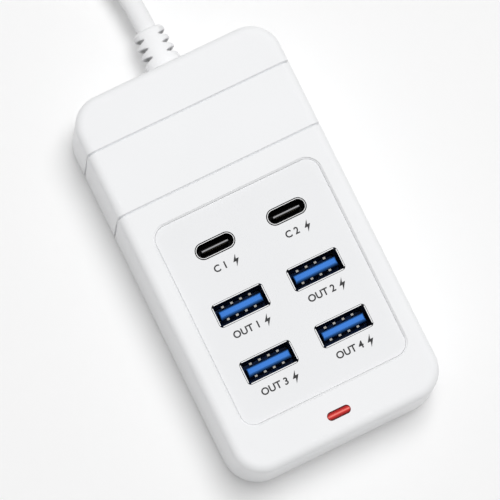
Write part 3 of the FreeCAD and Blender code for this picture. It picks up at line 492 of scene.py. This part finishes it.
def boxMiddle(node):
    low, high = corners(node)
    return (low + high) / 2


def settle(piece, name, node, slot):
    clearSelection()
    piece.name = name
    paint(piece, finishSet[slot])
    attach(piece, "root")
    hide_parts(node)


def copyTo(model, name, node, shift, slot):
    twin = bpy.data.objects.new(name, model.data.copy())
    scene.collection.objects.link(twin)
    twin.data.transform(Matrix.Translation(shift))
    settle(twin, name, node, slot)


# a merged copy of a node's loose triangles
def meshCopy(node, name):
    piece = bpy.data.objects.new(name, nodes[node].data.copy())
    scene.collection.objects.link(piece)
    pick(piece, "VERT", lambda place: True)
    bpy.ops.mesh.remove_doubles(threshold=meshSet["mergeGap"] * mm)
    bpy.ops.mesh.customdata_custom_splitnormals_clear()
    bpy.ops.object.mode_set(mode="OBJECT")
    return piece


# port shells: sheet steel with a rounded rim, the narrow ones oval
shellSet = {
    "sheetA": 0.25,
    "growA": 0.06,
    "sheetC": 0.17,
    "growC": -0.07,
    "corner": 0.8,
    "cornerSteps": 6,
    "rimRound": 0.05,
    "tabWidth": 1.6,
    "tabLength": 2.6,
    "notchPoints": 20,
    "notchRadius": 0.36,
    "notchDepth": 1.4,
    "ovalPoints": 58,
}


def roundRim(shell, top):
    pick(shell, "FACE", lambda centre, normal: normal.z > 0.9 and centre.z > top - hair)
    bpy.ops.mesh.region_to_loop()
    bpy.ops.mesh.bevel(offset=shellSet["rimRound"] * mm, segments=3, affect="EDGES")
    bpy.ops.object.mode_set(mode="OBJECT")


def shellBox(node, grow):
    low, high = corners(node)
    side = Vector((grow, grow, 0)) * mm
    return low - side, high + side


def makeShellA(node):
    low, high = shellBox(node, shellSet["growA"])
    board = low.z + shellSet["tabLength"] * mm
    middle = (low + high) / 2
    size = high - low
    halfTab = shellSet["tabWidth"] / 2 * mm
    clearSelection()
    bpy.ops.mesh.primitive_cube_add(size=1, location=(middle.x, middle.y, (board + high.z) / 2))
    shell = bpy.context.object
    shell.scale = (size.x, size.y, high.z - board)
    bpy.ops.object.transform_apply(location=True, rotation=True, scale=True)
    pick(shell, "EDGE", lambda a, b: abs(a.z - b.z) > mm)  # the four upright corners
    bpy.ops.mesh.bevel(offset=shellSet["corner"] * mm, segments=shellSet["cornerSteps"], affect="EDGES")
    bpy.ops.object.mode_set(mode="OBJECT")
    pick(shell, "FACE", lambda centre, normal: abs(normal.z) > 0.9)
    bpy.ops.mesh.delete(type="FACE")
    for side in (-1, 1):
        bpy.ops.mesh.select_all(action="SELECT")
        bpy.ops.mesh.bisect(plane_co=(middle.x, middle.y + side * halfTab, middle.z), plane_no=(0, 1, 0))
    bpy.ops.object.mode_set(mode="OBJECT")
    reach = halfTab + hair
    pick(shell, "EDGE", lambda a, b: max(a.z, b.z) < board + hair
         and abs(a.y - middle.y) < reach and abs(b.y - middle.y) < reach)
    bpy.ops.mesh.extrude_edges_move(TRANSFORM_OT_translate={"value": (0, 0, low.z - board)})
    bpy.ops.mesh.select_all(action="SELECT")
    bpy.ops.mesh.normals_make_consistent(inside=False)
    bpy.ops.object.mode_set(mode="OBJECT")
    applyTool(shell, "SOLIDIFY", thickness=shellSet["sheetA"] * mm, offset=-1)
    roundRim(shell, high.z)
    inset = shellSet["corner"] / 2 * mm
    cutters = []
    for x in (low.x + inset, high.x - inset):
        for y in (low.y + inset, high.y - inset):
            clearSelection()
            bpy.ops.mesh.primitive_cylinder_add(
                vertices=shellSet["notchPoints"], radius=shellSet["notchRadius"] * mm,
                depth=2 * shellSet["notchDepth"] * mm, location=(x, y, high.z))
            cutters.append(bpy.context.object)
    for cutter in cutters:
        cutter.select_set(True)
    bpy.ops.object.join()
    cutter = bpy.context.object
    applyTool(shell, "BOOLEAN", object=cutter, operation="DIFFERENCE", solver="EXACT")
    bpy.data.objects.remove(cutter)
    smoothByAngle(shell)
    return shell


def makeShellC(node):
    low, high = shellBox(node, shellSet["growC"])
    middle = (low + high) / 2
    size = high - low
    clearSelection()
    bpy.ops.mesh.primitive_circle_add(vertices=shellSet["ovalPoints"], radius=size.y / 2,
                                      location=(middle.x, middle.y, low.z))
    shell = bpy.context.object
    bpy.ops.object.transform_apply(location=True, rotation=True, scale=True)
    for side in (-1, 1):
        pick(shell, "VERT", lambda place: (place.x - middle.x) * side > 0)
        bpy.ops.transform.translate(value=(side * (size.x - size.y) / 2, 0, 0))
        bpy.ops.object.mode_set(mode="OBJECT")
    pick(shell, "EDGE", lambda a, b: True)
    bpy.ops.mesh.extrude_edges_move(TRANSFORM_OT_translate={"value": (0, 0, size.z)})
    bpy.ops.mesh.select_all(action="SELECT")
    bpy.ops.mesh.normals_make_consistent(inside=False)
    bpy.ops.object.mode_set(mode="OBJECT")
    applyTool(shell, "SOLIDIFY", thickness=shellSet["sheetC"] * mm, offset=-1)
    roundRim(shell, high.z)
    smoothByAngle(shell)
    return shell


# tongues: a block in the shell's foot with a blade on it, whose tip slopes away to the tail side
# each ring of the tip gives its drop from the top, its width, its thickness and its shift
tongueSet = {
    "usb_a_insert_1": {
        "blockHeight": 3.2, "shoulder": 0.2, "corner": 0.44, "cornerSteps": 4, "blade": (11.2, 2.2),
        "tip": [(0.7, 11.2, 2.2, 0), (0.3, 11.05, 1.76, 0.06), (0.1, 10.8, 1.3, 0.14), (0, 10.4, 0.94, 0.16)],
    },
    "usb_c_insert_1": {
        "blockHeight": 4.6, "shoulder": 0.2, "corner": 1.55, "cornerSteps": 10, "blade": (7.2, 0.6),
        "tip": [(0.5, 7.2, 0.6, 0), (0.2, 7.05, 0.48, 0.04), (0, 6.8, 0.3, 0.1)],
    },
}


def makeTongue(node):
    look = tongueSet[node]
    low, high = corners(node)
    middle = (low + high) / 2
    size = high - low
    blockTop = low.z + look["blockHeight"] * mm
    clearSelection()
    bpy.ops.mesh.primitive_cube_add(size=1, location=(middle.x, middle.y, (low.z + blockTop) / 2))
    tongue = bpy.context.object
    tongue.scale = (size.x, size.y, blockTop - low.z)
    bpy.ops.object.transform_apply(location=True, rotation=True, scale=True)
    pick(tongue, "FACE", lambda centre, normal: normal.z > 0.9)
    bpy.ops.mesh.inset(thickness=look["shoulder"] * mm)
    width = size.x / mm - 2 * look["shoulder"]
    thick = size.y / mm - 2 * look["shoulder"]
    shift, height = 0, blockTop
    for drop, nextWidth, nextThick, nextShift in [(None, *look["blade"], 0)] + look["tip"]:
        if drop is not None:
            lift = high.z - drop * mm - height
            bpy.ops.mesh.extrude_region_move(TRANSFORM_OT_translate={"value": (0, 0, lift)})
            height = high.z - drop * mm
        bpy.ops.transform.resize(value=(nextWidth / width, nextThick / thick, 1),
                                 center_override=(middle.x, middle.y + shift * mm, height))
        bpy.ops.transform.translate(value=(0, (nextShift - shift) * mm, 0))
        width, thick, shift = nextWidth, nextThick, nextShift
    bpy.ops.object.mode_set(mode="OBJECT")
    pick(tongue, "EDGE", lambda a, b: abs(a.z - b.z) > mm and max(a.z, b.z) < blockTop + hair)
    bpy.ops.mesh.bevel(offset=look["corner"] * mm, segments=look["cornerSteps"], affect="EDGES")
    bpy.ops.object.mode_set(mode="OBJECT")
    smoothByAngle(tongue)
    return tongue


# spring strips beside the blue tongues: their tips stand off the blade, further on the head side
springSet = {
    "head": {"inner": 0.4, "outer": 0.64},
    "tail": {"inner": 0.1, "outer": 0.32},
    "outerFrom": 1.2,
    "slide": -0.42,
    "widen": 1.04,
}


def makeSprings(node):
    springs = meshCopy(node, "springs")
    low, high = corners(node)
    middle = (low + high) / 2
    pick(springs, "VERT", lambda place: True)
    bpy.ops.transform.resize(value=(springSet["widen"], 1, 1), center_override=middle)
    bpy.ops.transform.translate(value=(springSet["slide"] * mm, 0, 0))
    bpy.ops.object.mode_set(mode="OBJECT")
    for way, side in ((1, "head"), (-1, "tail")):
        for edge in ("outer", "inner"):
            pick(springs, "VERT", lambda place: place.z > high.z - hair and (place.y - middle.y) * way > 0
                 and (abs(place.y - middle.y) > springSet["outerFrom"] * mm) == (edge == "outer"))
            bpy.ops.transform.translate(value=(0, way * springSet[side][edge] * mm, 0))
            bpy.ops.object.mode_set(mode="OBJECT")
    smoothByAngle(springs)
    return springs


# each port piece is modelled once and copied to the other ports
for nodeName, pieceName, count, make, slot in (
        ("usb_a_shell_%d", "shellA%d", 4, makeShellA, "port_steel"),
        ("usb_c_shell_%d", "shellC%d", 2, makeShellC, "port_steel"),
        ("usb_a_insert_%d", "tongueA%d", 4, makeTongue, "tongue_blue"),
        ("usb_c_insert_%d", "tongueC%d", 2, makeTongue, "tongue_grey"),
        ("usb_a_contacts_%d", "springsA%d", 4, makeSprings, "contact_gold")):
    model = make(nodeName % 1)
    for number in range(2, count + 1):
        shift = boxMiddle(nodeName % number) - boxMiddle(nodeName % 1)
        copyTo(model, pieceName % number, nodeName % number, shift, slot)
    settle(model, pieceName % 1, nodeName % 1, slot)
print("port pieces made")

# housing: the panel's lip narrower and both grooves steep on their tail side
coverSet = {
    "cadLip": 0.99,
    "lip": 0.52,
    "lipSlack": 0.1,
    "grooves": (37.05, 20.2),
    "grooveReach": 0.6,
    "grooveEdge": 0.4,
    "edgeReach": 0.2,
    "shift": -0.3,
    "steepen": 0.33,
    "steepDepth": 2.6,
    "draft": 3.5,
    "skin": 1.7,
}


def makeCover():
    cover = meshCopy("top_cover", "housingCover")
    low, high = corners("top_cover")
    panelLow, panelHigh = corners("port_panel")
    middle = (panelLow + panelHigh) / 2
    outer = (panelHigh - panelLow) / 2 + Vector((1, 1, 0)) * coverSet["cadLip"] * mm
    pull = (coverSet["cadLip"] - coverSet["lip"]) * mm
    slack = coverSet["lipSlack"] * mm
    pick(cover, "VERT", lambda place: place.z > high.z - hair and abs(place.x - middle.x) < outer.x + slack
         and abs(place.y - middle.y) < outer.y + slack)
    bpy.ops.transform.resize(value=(1 - pull / outer.x, 1 - pull / outer.y, 1),
                             center_override=(middle.x, middle.y, high.z))
    bpy.ops.object.mode_set(mode="OBJECT")

    def onSkin(place):
        half = high.x - (place.z - low.z) * math.tan(math.radians(coverSet["draft"]))
        return place.z > high.z - mm or abs(place.x) > half - coverSet["skin"] * mm

    reach = coverSet["grooveReach"] * mm
    foot = high.z - coverSet["steepDepth"] * mm
    for groove in coverSet["grooves"]:
        pick(cover, "VERT", lambda place: abs(place.y - groove * mm) < reach and onSkin(place))
        bpy.ops.transform.translate(value=(0, coverSet["shift"] * mm, 0))
        bpy.ops.object.mode_set(mode="OBJECT")
        edge = (groove + coverSet["shift"] - coverSet["grooveEdge"]) * mm
        far = edge - coverSet["edgeReach"] * mm
        pick(cover, "VERT", lambda place: far < place.y < edge and place.z > foot and onSkin(place))
        bpy.ops.transform.translate(value=(0, coverSet["steepen"] * mm, 0))
        bpy.ops.object.mode_set(mode="OBJECT")
    smoothByAngle(cover)
    applyTool(cover, "WEIGHTED_NORMAL", mode="FACE_AREA", weight=100, keep_sharp=True)
    settle(cover, "housingCover", "top_cover", "housing_white")


# indicator under the lens: the solid's shape, without the sliver at the dome's pole
def makeBulb():
    bulb = meshCopy("indicator_led", "indicatorBulb")
    pick(bulb, "VERT", lambda place: True)
    bpy.ops.mesh.dissolve_degenerate(threshold=meshSet["mergeGap"] * mm)
    bpy.ops.object.mode_set(mode="OBJECT")
    smoothByAngle(bulb)
    settle(bulb, "indicatorBulb", "indicator_led", "lens_red")


makeCover()
makeBulb()
print("housing refined")

# soft mouldings: the solids' shapes with their hard edges melted a little
softSet = {
    "strain_relief": {"name": "cordRelief", "grid": 0.16, "rounds": 5},
    "plug_body": {"name": "plugMoulding", "grid": 0.2, "rounds": 4},
    "coil_tie": {"name": "coilStrap", "grid": 0.16, "rounds": 4},
}


def makeSoft(node, look):
    piece = meshCopy(node, look["name"])
    applyTool(piece, "REMESH", mode="VOXEL", voxel_size=look["grid"] * mm, use_smooth_shade=True)
    applyTool(piece, "SMOOTH", factor=0.5, iterations=look["rounds"])
    settle(piece, look["name"], node, nodeSlots[node])
    return piece


cordRelief, plugMoulding, coilStrap = [makeSoft(node, look) for node, look in softSet.items()]
axisX, axisZ = cordSet["route"][0][0], cordSet["route"][0][2]
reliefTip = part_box("strain_relief")[1][1] / mm
# the relief's finish carries painted shade in its notches
paint(cordRelief, reliefWithPaintedShade("notchedRelief", jacketWhite, 0.42, axisX, axisZ,
                               core=3.1, skin=4.2, tipY=reliefTip))
print("soft mouldings made")

# printed legends under the ports: a number and a small bolt each
legendSet = {
    "film": 0.02,
    "bold": 0.06,
    "wide": {"words": "OUT %d", "size": 2.45, "text": (-1.26, -5.86), "bolt": (4.2, -5.85), "scale": 1.22},
    "narrow": {"words": "C %d", "size": 2.4, "text": (-1.0, -5.25), "bolt": (3.03, -5.25), "scale": 1.18},
    "boltOutline": [(0.34, 1.3), (-0.72, -0.22), (-0.08, -0.22), (-0.34, -1.3), (0.72, 0.28), (0.06, 0.28)],
}


def legendInk():
    finish, tree, shader, where = startFinish("legendInk")
    speckle = addNoise(tree, where, 1800, 3)
    tint(tree, shader, speckle, [(0.3, (0.036, 0.036, 0.037)), (0.7, (0.062, 0.062, 0.064))])
    roughen(tree, shader, addNoise(tree, where, 700, 3), 0.5, 0.65)
    shader.inputs["Specular IOR Level"].default_value = 0.25
    return finish


def makeBolt(x, y, z, scale):
    clearSelection()
    bpy.ops.mesh.primitive_circle_add(vertices=6, radius=mm, fill_type="NGON", location=(0, 0, 0))
    bolt = bpy.context.object
    for spot, (px, py) in zip(bolt.data.vertices, legendSet["boltOutline"]):
        spot.co = ((x + px * scale) * mm, (y + py * scale) * mm, z)
    bpy.ops.object.mode_set(mode="EDIT")
    bpy.ops.mesh.select_all(action="SELECT")
    bpy.ops.mesh.extrude_region_move(TRANSFORM_OT_translate={"value": (0, 0, legendSet["film"] * mm)})
    bpy.ops.mesh.select_all(action="SELECT")
    bpy.ops.mesh.normals_make_consistent(inside=False)
    bpy.ops.object.mode_set(mode="OBJECT")
    return bolt


def makeLegend(name, port, number, style, ink):
    low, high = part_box(port)
    x = (low[0] + high[0]) / 2 / mm
    y = (low[1] + high[1]) / 2 / mm
    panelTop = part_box("port_panel")[1][2]
    film = legendSet["film"] * mm
    textX, textY = style["text"]
    clearSelection()
    bpy.ops.object.text_add(location=((x + textX) * mm, (y + textY) * mm, panelTop + film / 2))
    words = bpy.context.object
    words.data.body = style["words"] % number
    words.data.size = style["size"] * mm
    words.data.align_x = "CENTER"
    words.data.align_y = "CENTER"
    words.data.offset = legendSet["bold"] * mm
    words.data.extrude = film / 2
    words.data.resolution_u = 4
    bpy.ops.object.convert(target="MESH")
    bpy.ops.object.transform_apply(location=True, rotation=True, scale=True)
    bolt = makeBolt(x + style["bolt"][0], y + style["bolt"][1], panelTop, style["scale"])
    clearSelection()
    bolt.select_set(True)
    words.select_set(True)
    bpy.context.view_layer.objects.active = words
    bpy.ops.object.join()
    words.name = name
    paint(words, ink)
    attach(words, "root")


ink = legendInk()
for number in range(1, 5):
    makeLegend("legendOut%d" % number, "usb_a_shell_%d" % number, number, legendSet["wide"], ink)
for number in range(1, 3):
    makeLegend("legendC%d" % number, "usb_c_shell_%d" % number, number, legendSet["narrow"], ink)
print("legends printed")

# floor and light
stageSet = {
    "floorSize": 6.0,
    "floorWhite": (0.95, 0.95, 0.95, 1),
    "glowShare": 0.15,
    "worldStrength": 0.3,
    "keyPlace": (0.35, 0.25, 2.1),
    "keySize": 0.8,
    "keyPower": 31.2,
}


def makeStage():
    clearSelection()
    bpy.ops.mesh.primitive_plane_add(size=stageSet["floorSize"])
    floor = bpy.context.object
    floor.name = "floor"
    paper = bpy.data.materials.new("paleFloor")
    paper.use_nodes = True
    tree = paper.node_tree
    tree.nodes.clear()
    out = tree.nodes.new("ShaderNodeOutputMaterial")
    mix = tree.nodes.new("ShaderNodeMixShader")
    matt = tree.nodes.new("ShaderNodeBsdfDiffuse")
    glow = tree.nodes.new("ShaderNodeEmission")
    path = tree.nodes.new("ShaderNodeLightPath")
    first = tree.nodes.new("ShaderNodeMath")
    second = tree.nodes.new("ShaderNodeMath")
    share = tree.nodes.new("ShaderNodeMath")
    first.operation = "MAXIMUM"
    second.operation = "MAXIMUM"
    share.operation = "MULTIPLY"
    share.inputs[1].default_value = stageSet["glowShare"]
    matt.inputs["Color"].default_value = stageSet["floorWhite"]
    glow.inputs["Color"].default_value = (1, 1, 1, 1)
    tree.links.new(path.outputs["Is Camera Ray"], first.inputs[0])
    tree.links.new(path.outputs["Is Glossy Ray"], first.inputs[1])
    tree.links.new(first.outputs[0], second.inputs[0])
    tree.links.new(path.outputs["Is Transmission Ray"], second.inputs[1])
    tree.links.new(second.outputs[0], share.inputs[0])
    tree.links.new(share.outputs[0], mix.inputs["Fac"])
    tree.links.new(matt.outputs[0], mix.inputs[1])
    tree.links.new(glow.outputs[0], mix.inputs[2])
    tree.links.new(mix.outputs[0], out.inputs["Surface"])
    floor.data.materials.append(paper)


def makeLight():
    clearSelection()
    bpy.ops.object.light_add(type="AREA", location=stageSet["keyPlace"])
    key = bpy.context.object
    key.name = "softBox"
    key.data.size = stageSet["keySize"]
    key.data.energy = stageSet["keyPower"]
    key.rotation_euler = (-Vector(stageSet["keyPlace"])).to_track_quat("-Z", "Y").to_euler()
    key.visible_glossy = False
    world = bpy.data.worlds.new("studio")
    scene.world = world
    world.use_nodes = True
    tree = world.node_tree
    tree.nodes.clear()
    out = tree.nodes.new("ShaderNodeOutputWorld")
    mix = tree.nodes.new("ShaderNodeMixShader")
    soft = tree.nodes.new("ShaderNodeBackground")
    white = tree.nodes.new("ShaderNodeBackground")
    path = tree.nodes.new("ShaderNodeLightPath")
    seen = tree.nodes.new("ShaderNodeMath")
    seen.operation = "MAXIMUM"
    soft.inputs["Color"].default_value = (1, 1, 1, 1)
    soft.inputs["Strength"].default_value = stageSet["worldStrength"]
    white.inputs["Color"].default_value = (1, 1, 1, 1)
    white.inputs["Strength"].default_value = 1.0
    tree.links.new(path.outputs["Is Camera Ray"], seen.inputs[0])
    tree.links.new(path.outputs["Is Glossy Ray"], seen.inputs[1])
    tree.links.new(seen.outputs[0], mix.inputs["Fac"])
    tree.links.new(soft.outputs[0], mix.inputs[1])
    tree.links.new(white.outputs[0], mix.inputs[2])
    tree.links.new(mix.outputs[0], out.inputs["Surface"])


makeStage()
makeLight()
print("stage lit")
